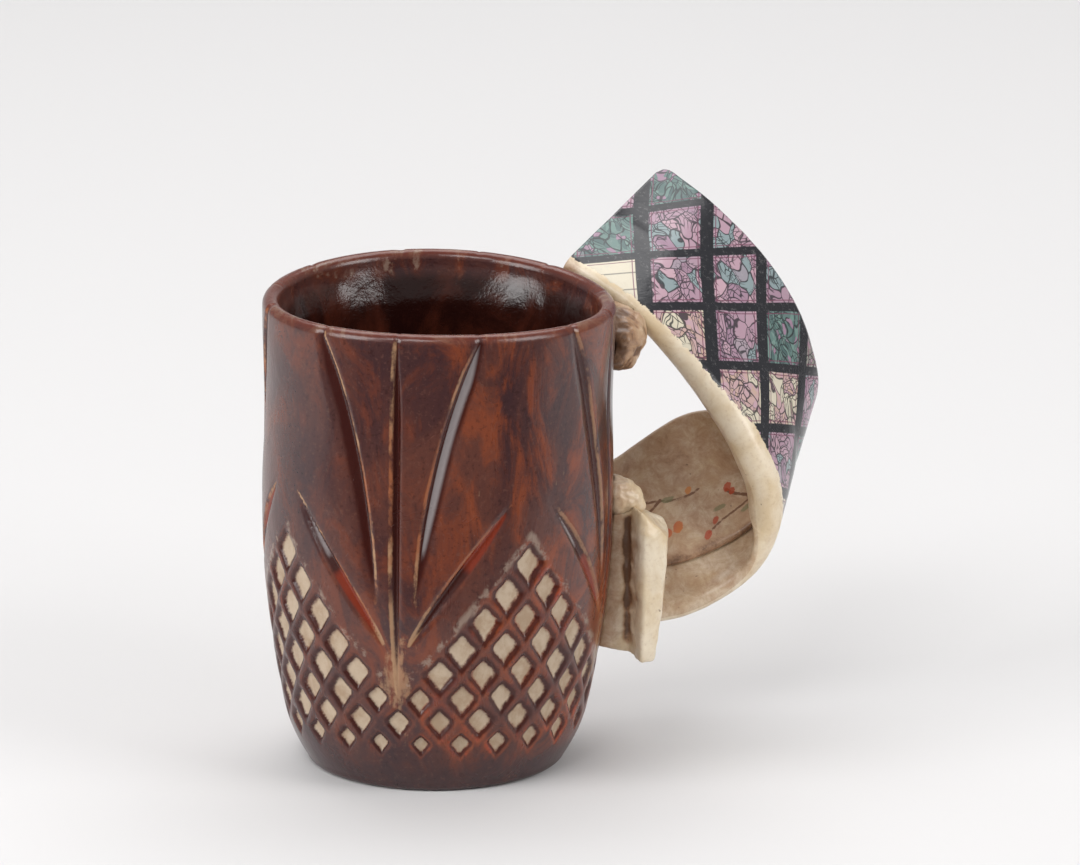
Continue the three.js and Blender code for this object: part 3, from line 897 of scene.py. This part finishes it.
# Its faces are a little uneven, and its far edge is nicked
rubbed_off = 0.25
band_wobble = 0.12
nick_depth = 0.15
wobble = uneven(trim_rings, 9.0, 3, 2)
nicks = uneven(trim_rings, 2.2, 6, 2)
at_far_edge = smooth_step(1.5, 0.0, full_width - band_width)
worn = rubbed_off + band_wobble * wobble + at_far_edge * (nick_depth + nick_depth * nicks)
trim_rings = rubbed(trim_rings, worn)
band = grid_mesh("band_outer", list(trim_rings))
keep_values(
    band,
    along=with_ends(carried(band_along, trim_spots)),
    across=with_ends(band_width),
    from_far=with_ends(full_width - band_width),
    share=with_ends(share_on, 0.0, 1.0),
    outer=with_ends(np.broadcast_to(band_outer, share_on.shape)),
    seam=with_ends(wall_gap(trim_rings)),
)

cream_clay = (0.76, 0.655, 0.50)
yellow_clay = (0.64, 0.50, 0.32)
warm_stain_and_shade = (0.36, 0.20, 0.11)
brown_stain_and_shade = (0.10, 0.045, 0.022)


def aged_and_shaded_cream(name):
    """Shader node group: cream glaze, thin and stained as on old crockery; its stain input also
    carries painted shade and painted highlight.
    """
    group = bpy.data.node_groups.new(name, "ShaderNodeTree")
    for socket, way, kind in (
        ("Place", "INPUT", "Vector"), ("Stain and painted light", "INPUT", "Float"),
        ("Colour", "OUTPUT", "Color"), ("Bumps", "OUTPUT", "Float"),
    ):
        group.interface.new_socket(socket, in_out=way, socket_type="NodeSocket" + kind)
    start = group.nodes.new("NodeGroupInput")
    end = group.nodes.new("NodeGroupOutput")
    where = start.outputs["Place"]
    cloud = lumps(where, 90, 5, 0.62, 0.5)
    blot = lumps(where, 230, 5, 0.75, 0.4)
    fine = lumps(where, 1100, 3, 0.65)
    pin = lumps(where, 700, 1, 0.4)
    stain_shade_and_highlight = ruffled(start.outputs["Stain and painted light"], blot, 1.3)
    colour = coated(
        mix_colour(ramp(cloud, 0.38, 0.66), cream_clay, yellow_clay),
        (ramp(stain_shade_and_highlight, 0.1, 1.0, 0.0, 0.92), warm_stain_and_shade),
        (ramp(stain_shade_and_highlight, 0.8, 1.25, 0.0, 0.9), brown_stain_and_shade),
        (ramp(fine, 0.5, 0.8, 0.0, 0.28), warm_stain_and_shade),
        (ramp(pin, 0.77, 0.8, 0.0, 0.6), brown_stain_and_shade),
    )
    link(colour, end.inputs["Colour"])
    link(maths("ADD", cloud, times(blot, 0.6)), end.inputs["Bumps"])
    return group


cream_group = aged_and_shaded_cream("aged_and_shaded_cream")


def cream_base(place, stain_and_painted_light):
    """Colour and bumps of the cream group, set in a material with its own amount of stain and
    painted shade.
    """
    made = new_node(place.id_data, "ShaderNodeGroup", node_tree=cream_group)
    link(place, made.inputs["Place"])
    link(stain_and_painted_light, made.inputs["Stain and painted light"])
    return made.outputs["Colour"], made.outputs["Bumps"]


printed_glaze, tree, shader, place = new_glaze("printed_glaze")
along, across, from_far, share, outer, seam = mesh_values(
    tree, "along", "across", "from_far", "share", "outer", "seam"
)
# Painted shade on the cream: inner face of the loop, along the cup wall and the lower loop
inner_face_shade = ramp(outer, 0.6, 0.2, 0.08, 0.38)
band_painted_shade = maths("ADD", ramp(seam, 4.0, 0.0, 0.0, 0.8), inner_face_shade)
band_painted_shade = maths("ADD", band_painted_shade, ramp(share, 0.5, 0.75, 0.0, 0.22))
plain, bumps = cream_base(place, band_painted_shade)

# The transfer is a plain patchwork of leaded-glass lozenges in charcoal, mauve, teal and cream
lead = (0.018, 0.018, 0.022)
mauve = (0.30, 0.19, 0.26)
pink = (0.50, 0.33, 0.38)
peach = (0.52, 0.36, 0.29)
teal = (0.06, 0.105, 0.105)
sea_green = (0.16, 0.26, 0.23)
ice = (0.24, 0.30, 0.31)
pale_cream = (0.62, 0.56, 0.44)
wine = (0.16, 0.045, 0.085)
stripe_ink = (0.14, 0.13, 0.11)
worn_print = (0.42, 0.40, 0.40)
wide_pitch = 22.0
thin_pitch = 18.0
stripe_pitch = 6.0
slant = maths("ADD", along, times(across, 0.62))
counter = maths("SUBTRACT", along, times(across, 0.78))


def folded(value, period):
    """Distance from the nearest line of a row of lines one period apart."""
    return maths("PINGPONG", value, period / 2)


def combined(x, y, z):
    """A place made of three numbers."""
    made = new_node(x.id_data, "ShaderNodeCombineXYZ")
    for value, socket in zip((x, y, z), made.inputs):
        link(value, socket)
    return made.outputs[0]


wide_bar, thin_bar = folded(slant, wide_pitch), folded(counter, thin_pitch)
bars = maths(
    "MAXIMUM",
    ramp(wide_bar, 2.3, 2.5, 1.0, 0.0), ramp(thin_bar, 1.25, 1.4, 1.0, 0.0),
)
outline = maths(
    "MAXIMUM",
    times(ramp(wide_bar, 3.0, 3.15), ramp(wide_bar, 3.5, 3.35)),
    times(ramp(thin_bar, 1.8, 1.95), ramp(thin_bar, 2.25, 2.1)),
)
column = maths("FLOOR", maths("DIVIDE", slant, wide_pitch))
line = maths("FLOOR", maths("DIVIDE", counter, thin_pitch))
lozenge = new_node(tree, "ShaderNodeTexWhiteNoise", noise_dimensions="3D")
link(combined(column, line, 5.0), lozenge.inputs["Vector"])
picked = lozenge.outputs["Value"]
on_strap = combined(along, across, 0.0)
sway = new_node(tree, "ShaderNodeTexNoise", inputs={"Scale": 0.13, "Detail": 1.0, "Roughness": 0.5})
link(on_strap, sway.inputs["Vector"])
push = (9.0, 9.0, 0.0)
pushed = new_node(tree, "ShaderNodeVectorMath", operation="MULTIPLY_ADD", inputs={1: push})
link(sway.outputs["Color"], pushed.inputs[0])
link(on_strap, pushed.inputs[2])


def leading(where, scale, low, high):
    """Dark lines between glass pieces of about one length, and a colour for every piece."""
    tree = where.id_data
    pieces, edges = (
        new_node(
            tree, "ShaderNodeTexVoronoi", feature=feature, voronoi_dimensions="2D",
            inputs={"Scale": scale},
        )
        for feature in ("F1", "DISTANCE_TO_EDGE")
    )
    link(where, pieces.inputs["Vector"])
    link(where, edges.inputs["Vector"])
    tone = new_node(tree, "ShaderNodeSeparateColor")
    link(pieces.outputs["Color"], tone.inputs[0])
    return ramp(edges.outputs["Distance"], low, high, 1.0, 0.0), tone.outputs


coarse, tone = leading(pushed.outputs[0], 0.27, 0.035, 0.075)
finer, fine_tone = leading(pushed.outputs[0], 0.72, 0.05, 0.12)
busy = ramp(sway.outputs["Fac"], 0.42, 0.5)
rosy = mix_colour(tone[0], mauve, pink)
rosy = mix_colour(ramp(tone[1], 0.72, 0.78), rosy, ice)
dusky = mix_colour(fine_tone[0], teal, sea_green)
dusky = mix_colour(ramp(fine_tone[1], 0.8, 0.84), dusky, mauve)
warm = mix_colour(fine_tone[1], peach, pink)
warm = mix_colour(ramp(tone[0], 0.7, 0.75), warm, pale_cream)
lines = maths("MAXIMUM", coarse, times(finer, busy))
stripe = ramp(folded(counter, stripe_pitch), 0.15, 0.32, 0.8, 0.0)
faded = lumps(place, 650, 5, 0.85)
glass = coated(
    rosy,
    (ramp(picked, 0.5, 0.51), dusky),
    (ramp(picked, 0.66, 0.67), warm),
    (times(lines, 0.88), lead),
    (ramp(picked, 0.88, 0.89), mix_colour(stripe, pale_cream, stripe_ink)),
    (times(outline, 0.85), wine),
    (bars, lead),
    (ramp(faded, 0.54, 0.76, 0.0, 0.42), worn_print),
)

# It stops in a torn line short of the near lip and just inside the far edge
ragged = lumps(place, 420, 5, 0.75, 0.5)
tear = times(maths("SUBTRACT", ragged, 0.5), 3.4)
wide_border = times(ramp(share, 0.2, 0.42), ramp(share, 0.7, 0.55))
margin = maths("ADD", ramp(wide_border, 0.0, 1.0, 2.6, 5.6), tear)
near_side = ramp(maths("SUBTRACT", across, margin), -0.12, 0.12)
far_side = ramp(maths("ADD", from_far, times(tear, 0.7)), 0.1, 0.3)
printed = times(near_side, far_side, ramp(outer, 0.4, 0.6))
colour = mix_colour(printed, plain, glass)
raised = maths("ADD", bumps, times(printed, 0.3))
fired(shader, colour, ramp(printed, 0, 1, 0.32, 0.19), raised, 0.3, 0.0004)
band.data.materials.append(printed_glaze)
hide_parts("outer_band")
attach(band, "root")

# Inner band: a thinner slab of clay luted inside the lower half of the loop to stiffen it, glazed
# cream. A few transfers of berried sprigs were laid on it before the last firing.
liner_thickness = 1.9
seat_gap = 0.3
liner_start = 0.5
liner_inset = 0.8
liner_draw = 5.0
liner_drawn_by = 0.78
liner_rub = 0.1
luting = 0.1
liner_shares = np.linspace(liner_start, 1, 300)
liner_low = smooth_step(liner_start, liner_drawn_by, liner_shares)
liner_low = band_roll_width + liner_inset + liner_draw * liner_low
liner_rings, liner_along, liner_across, _ = strap_surface(
    liner_shares, liner_low, liner_inset + 0 * liner_low, liner_thickness + seat_gap,
    0 * liner_low, luting - band_thickness
)
liner_trim, liner_spots = trimmed(liner_rings)
liner_wobble = uneven(liner_trim, 8.0, 5, 3)
liner_trim = rubbed(liner_trim, liner_rub + liner_rub * liner_wobble)
liner = grid_mesh("band_inner", list(liner_trim))
on_length = carried(liner_along, liner_spots)
on_width = carried(liner_across, liner_spots)
near_line = np.interp(liner_spots, np.arange(len(liner_shares)), liner_low)

# Sprigs: twigs as bent lines, berries as round spots and leaves as long ones, each given by its
# place along and across the slab in millimetres
twigs = [
    [(12, 24), (19, 20), (28, 22), (33, 18)], [(21, 21), (23, 24), (27, 25), (29, 28)],
    [(36, 31), (43, 28), (48, 33), (56, 30)], [(46, 31), (47, 29), (50, 28), (51, 25)],
    [(47, 18), (53, 21), (58, 17), (63, 19)],
]
berries = [
    (28.6, 28.4, 1.0), (27.2, 26.6, 0.8), (33.2, 17.6, 1.0), (31.4, 20.6, 0.8), (50.6, 24.8, 1.0),
    (52.0, 26.6, 0.8), (56.6, 29.8, 0.9), (63.2, 18.8, 0.9), (16.0, 23.6, 0.8), (38.5, 31.6, 0.8),
    (41.2, 22.5, 1.3), (43.8, 21.4, 1.0),
]
sprig_leaves = [
    (22.5, 19.2, 2.0, 0.8), (44.0, 30.6, 1.9, 0.8), (55.5, 21.6, 2.0, 0.8), (30.5, 23.6, 1.7, 0.7),
]
no_sprig = 9.0
to_twig, to_berry, to_leaf = (np.full(on_length.shape, no_sprig) for _ in range(3))
for bends in twigs:
    a, b, c, d = np.array(bends, float)
    line = [
        a * (1 - t) ** 3 + 3 * b * t * (1 - t) ** 2 + 3 * c * t * t * (1 - t) + d * t ** 3
        for t in np.linspace(0, 1, 11)
    ]
    for (u0, v0), (u1, v1) in zip(line, line[1:]):
        du, dv = u1 - u0, v1 - v0
        part = ((on_length - u0) * du + (on_width - v0) * dv) / (du ** 2 + dv ** 2)
        part = np.clip(part, 0, 1)
        off = np.hypot(on_length - u0 - part * du, on_width - v0 - part * dv)
        to_twig = np.minimum(to_twig, off)
for u, v, size in berries:
    to_berry = np.minimum(to_berry, np.hypot(on_length - u, (on_width - v) * 0.8) - size)
for u, v, length, breadth in sprig_leaves:
    off = np.hypot((on_length - u) / length, (on_width - v) / breadth)
    to_leaf = np.minimum(to_leaf, (off - 1) * breadth)
keep_values(
    liner,
    twig=with_ends(to_twig, no_sprig, no_sprig),
    berry=with_ends(to_berry, no_sprig, no_sprig),
    green=with_ends(to_leaf, no_sprig, no_sprig),
    seam=with_ends(wall_gap(liner_trim)),
    crease=with_ends(on_width - near_line),
)

twig_brown = (0.15, 0.055, 0.025)
leaf_green = (0.17, 0.17, 0.075)
berry_red = (0.42, 0.055, 0.016)
berry_orange = (0.55, 0.19, 0.03)
sprigged_glaze, tree, shader, place = new_glaze("sprigged_glaze")
twig, berry, green, seam, crease = mesh_values(tree, "twig", "berry", "green", "seam", "crease")
# Painted shade: the whole slab is darkened, most along its near edge and near the cup wall
crease_shade = ramp(crease, 3.0, 0.0, 0.72, 1.0)
liner_painted_shade = maths("ADD", crease_shade, ramp(seam, 9.0, 0.0, 0.0, 0.3))
plain, bumps = cream_base(place, liner_painted_shade)
smudge = lumps(place, 700, 4, 0.7)
twig_mask = ramp(ruffled(twig, smudge, 0.5), 0.28, 0.48, 0.9, 0.0)
berry_mask = ramp(ruffled(berry, smudge, 0.9), -0.1, 0.15, 0.85, 0.0)
leaf_mask = ramp(ruffled(green, smudge, 0.9), -0.1, 0.15, 0.7, 0.0)
ripeness = ramp(lumps(place, 60, 1, 0.5), 0.45, 0.55)
berry_colour = mix_colour(ripeness, berry_red, berry_orange)
colour = coated(
    plain, (twig_mask, twig_brown), (leaf_mask, leaf_green), (berry_mask, berry_colour)
)
fired(shader, colour, 0.34, bumps, 0.35, 0.0005)
liner.data.materials.append(sprigged_glaze)
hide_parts("inner_band")
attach(liner, "root")

# Lug, bracket and joint clay: a pressed lump under the rim, a cast ribbed piece low on the wall
# and a crumpled wad above it, all of the same clay under a stained cream glaze. They were luted
# on to hold the two ends of the band, and sponged smooth.
hollow_rounds = 70
press = 0.5
press_from = 1.6
press_full = 0.4


def hollows(mesh, places, normals):
    """How deep each point lies below the surface smoothed over its neighbours, in millimetres."""
    ends = np.zeros(len(mesh.edges) * 2, dtype=np.int64)
    mesh.edges.foreach_get("vertices", ends)
    a, b = ends.reshape(-1, 2).T
    count = len(places)
    neighbours = np.bincount(a, minlength=count) + np.bincount(b, minlength=count)
    smooth = places.copy()
    for _ in range(hollow_rounds):
        sums = [
            np.bincount(a, smooth[b, axis], count) + np.bincount(b, smooth[a, axis], count)
            for axis in range(3)
        ]
        smooth = np.stack(sums, axis=1) / neighbours[:, None]
    return ((smooth - places) * normals).sum(axis=1)


def sponged(node, name, voxel, smoothing, swell, lump, lump_size, seed):
    """A copy of a plain clay solid with its corners rubbed round and its faces left uneven. It is
    swelled a little, as wet clay is pressed home, and meets the wall of the cup."""
    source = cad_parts[node]
    piece = bpy.data.objects.new(name, source.data.copy())
    piece.data.materials.clear()
    bpy.context.scene.collection.objects.link(piece)
    remesh = piece.modifiers.new("remesh", "REMESH")
    remesh.mode = "VOXEL"
    remesh.voxel_size = voxel * MM
    soften = piece.modifiers.new("soften", "SMOOTH")
    soften.factor = 0.5
    soften.iterations = smoothing
    graph = bpy.context.evaluated_depsgraph_get()
    mesh = bpy.data.meshes.new_from_object(piece.evaluated_get(graph))
    piece.modifiers.clear()
    piece.data = mesh
    places = np.zeros(len(mesh.vertices) * 3)
    mesh.vertices.foreach_get("co", places)
    places = places.reshape(-1, 3) / MM
    normals = np.array([v.normal for v in mesh.vertices])
    places += normals * (swell + clay_noise(places, lump_size, seed, 3)[:, None] * lump)
    gap = wall_gap(places)
    inward = -places * (1, 1, 0)
    places += unit(inward) * (press * smooth_step(press_from, press_full, gap))[:, None]
    mesh.vertices.foreach_set("co", (places * MM).ravel())
    mesh.update()
    mesh.shade_smooth()
    keep_values(piece, seam=wall_gap(places), hollow=hollows(mesh, places, normals))
    return piece


def cream_glaze(name, stain_and_painted_light, seam_shade, roughness):
    """Cream glaze with painted shade along its seam with the cup and in the hollows of the clay,
    where real staining lies too, and painted highlight on its ridges.
    """
    glaze, tree, shader, place = new_glaze(name)
    seam, hollow = mesh_values(tree, "seam", "hollow")
    stain_shade_and_highlight = ramp(seam, 9.0, 0.2, stain_and_painted_light, stain_and_painted_light + seam_shade)
    stain_shade_and_highlight = maths("ADD", stain_shade_and_highlight, ramp(hollow, -0.25, 0.4, -0.35, 0.65))
    colour, bumps = cream_base(place, stain_shade_and_highlight)
    fired(shader, colour, roughness, bumps, 0.35, 0.0005)
    return glaze


bracket = sponged(
    "bracket", "bracket_body", voxel=0.3, smoothing=22, swell=0.3, lump=0.35, lump_size=6.0, seed=7
)
bracket.data.materials.append(cream_glaze("bracket_glaze", stain_and_painted_light=0.2, seam_shade=0.95, roughness=0.28))
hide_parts("bracket")
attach(bracket, "root")

lug = sponged(
    "top_lug", "lug_body", voxel=0.35, smoothing=10, swell=-0.7, lump=0.8, lump_size=6.5, seed=8
)
# The lug sits in shadow under the rim, and its heavy stain is partly painted shade
lug.data.materials.append(cream_glaze("lug_glaze", stain_and_painted_light=1.05, seam_shade=0.6, roughness=0.3))
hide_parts("top_lug")
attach(lug, "root")

wad = sponged(
    "joint_clay", "joint_body", voxel=0.3, smoothing=12, swell=0.4, lump=0.9, lump_size=4.6, seed=9
)
wad.data.materials.append(cream_glaze("joint_glaze", stain_and_painted_light=0.5, seam_shade=0.5, roughness=0.3))
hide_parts("joint_clay")
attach(wad, "root")
